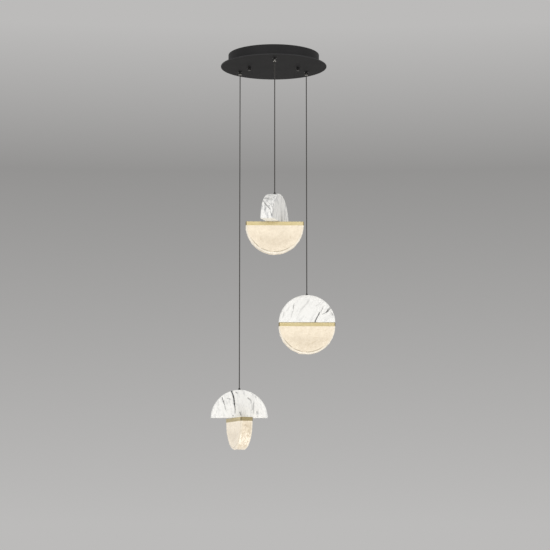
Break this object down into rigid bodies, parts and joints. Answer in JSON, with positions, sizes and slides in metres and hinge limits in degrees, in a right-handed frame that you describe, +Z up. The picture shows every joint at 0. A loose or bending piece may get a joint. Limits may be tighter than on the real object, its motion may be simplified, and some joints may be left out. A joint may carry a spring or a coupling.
{
  "type": "pendant light",
  "caption": "Round black ceiling canopy with thin cords at stepped drops, each holding a flat disc of a marble half and a lit glass half that swivel on each other at a gold bar.",
  "frame": {"origin": "centre of the canopy's ceiling side, on the ceiling plane", "axes": "+Z up into the ceiling, +X to the right and +Y away from someone facing the highest pendant"},
  "size_m": [0.4076, 0.3967, 1.299],
  "materials": {
    "canopy_black": "satin black powder coat",
    "black_nickel": "satin black nickel plate",
    "ferrule_black": "satin black",
    "zinc_steel": "zinc plated",
    "champagne_brass": "satin champagne gold",
    "terminal_brass": "plain brass",
    "marble": "honed white marble with grey veins",
    "bubble_glass": "cast glass full of fine bubbles, lit warm from the bar",
    "cord_black": "fine braided sleeve",
    "lead_sleeve": "silicone sleeve",
    "nylon": "natural nylon",
    "rubber_black": "matt",
    "driver_white": "matt moulded",
    "terminal_cream": "matt moulded",
    "board_white": "white solder mask",
    "opal_strip": "opal"
  },
  "bodies": {
    "canopy": {"ceiling_bracket": "zinc_steel", "bracket_studs": "zinc_steel", "stud_nuts": "zinc_steel", "canopy_drum": "canopy_black", "canopy_plate": "canopy_black", "drum_screws": "zinc_steel", "cap_nuts": "black_nickel", "cord_grips": "black_nickel", "grip_nuts": "zinc_steel", "led_driver": "driver_white", "driver_screws": "zinc_steel", "terminal_block": "terminal_cream", "earth_terminal": "terminal_brass", "mains_lead": "lead_sleeve", "output_leads": "lead_sleeve"},
    "liner_high": {"swing_liner_high": "nylon"},
    "cord_high": {"cord_high": "cord_black", "cord_ball_high": "zinc_steel"},
    "upper_high": {"marble_half_high": "marble", "ferrule_high": "ferrule_black", "stem_tube_high": "zinc_steel", "clamp_washer_high": "rubber_black", "pivot_spool_high": "zinc_steel", "spring_washer_high": "zinc_steel", "swivel_nut_high": "zinc_steel"},
    "lower_high": {"brass_band_high": "champagne_brass", "glass_half_high": "bubble_glass", "led_board_high": "board_white", "diffuser_high": "opal_strip", "slip_washer_high": "nylon"},
    "liner_mid": {"swing_liner_mid": "nylon"},
    "cord_mid": {"cord_mid": "cord_black", "cord_ball_mid": "zinc_steel"},
    "upper_mid": {"marble_half_mid": "marble", "ferrule_mid": "ferrule_black", "stem_tube_mid": "zinc_steel", "clamp_washer_mid": "rubber_black", "pivot_spool_mid": "zinc_steel", "spring_washer_mid": "zinc_steel", "swivel_nut_mid": "zinc_steel"},
    "lower_mid": {"brass_band_mid": "champagne_brass", "glass_half_mid": "bubble_glass", "led_board_mid": "board_white", "diffuser_mid": "opal_strip", "slip_washer_mid": "nylon"},
    "liner_low": {"swing_liner_low": "nylon"},
    "cord_low": {"cord_low": "cord_black", "cord_ball_low": "zinc_steel"},
    "upper_low": {"marble_half_low": "marble", "ferrule_low": "ferrule_black", "stem_tube_low": "zinc_steel", "clamp_washer_low": "rubber_black", "pivot_spool_low": "zinc_steel", "spring_washer_low": "zinc_steel", "swivel_nut_low": "zinc_steel"},
    "lower_low": {"brass_band_low": "champagne_brass", "glass_half_low": "bubble_glass", "led_board_low": "board_white", "diffuser_low": "opal_strip", "slip_washer_low": "nylon"}
  },
  "joints": [
    {"name": "swing_front_back_high", "type": "hinge", "parent": "canopy", "child": "liner_high", "pos_m": [0, -0.128, -0.046], "axis": [1, 0, 0], "range_deg": [-7, 7]},
    {"name": "swing_sideways_high", "type": "hinge", "parent": "liner_high", "child": "cord_high", "pos_m": [0, -0.128, -0.046], "axis": [0, 1, 0], "range_deg": [-7, 7]},
    {"name": "drop_high", "type": "slide", "parent": "cord_high", "child": "upper_high", "axis": [0, 0, 1], "range_m": [0, 0.2], "deforming": ["cord_high"]},
    {"name": "swivel_high", "type": "hinge", "parent": "upper_high", "child": "lower_high", "pos_m": [0, -0.128, -0.046], "axis": [0, 0, 1], "range_deg": [-93, 237]},
    {"name": "swing_front_back_mid", "type": "hinge", "parent": "canopy", "child": "liner_mid", "pos_m": [0.11085, 0.064, -0.046], "axis": [1, 0, 0], "range_deg": [-7, 7]},
    {"name": "swing_sideways_mid", "type": "hinge", "parent": "liner_mid", "child": "cord_mid", "pos_m": [0.11085, 0.064, -0.046], "axis": [0, 1, 0], "range_deg": [-7, 7]},
    {"name": "drop_mid", "type": "slide", "parent": "cord_mid", "child": "upper_mid", "axis": [0, 0, 1], "range_m": [0, 0.2], "deforming": ["cord_mid"]},
    {"name": "swivel_mid", "type": "hinge", "parent": "upper_mid", "child": "lower_mid", "pos_m": [0.11085, 0.064, -0.046], "axis": [0, 0, 1], "range_deg": [-165, 165]},
    {"name": "swing_front_back_low", "type": "hinge", "parent": "canopy", "child": "liner_low", "pos_m": [-0.11085, 0.064, -0.046], "axis": [1, 0, 0], "range_deg": [-7, 7]},
    {"name": "swing_sideways_low", "type": "hinge", "parent": "liner_low", "child": "cord_low", "pos_m": [-0.11085, 0.064, -0.046], "axis": [0, 1, 0], "range_deg": [-7, 7]},
    {"name": "drop_low", "type": "slide", "parent": "cord_low", "child": "upper_low", "axis": [0, 0, 1], "range_m": [0, 0.2], "deforming": ["cord_low"]},
    {"name": "swivel_low", "type": "hinge", "parent": "upper_low", "child": "lower_low", "pos_m": [-0.11085, 0.064, -0.046], "axis": [0, 0, 1], "range_deg": [-90, 240]}
  ]
}
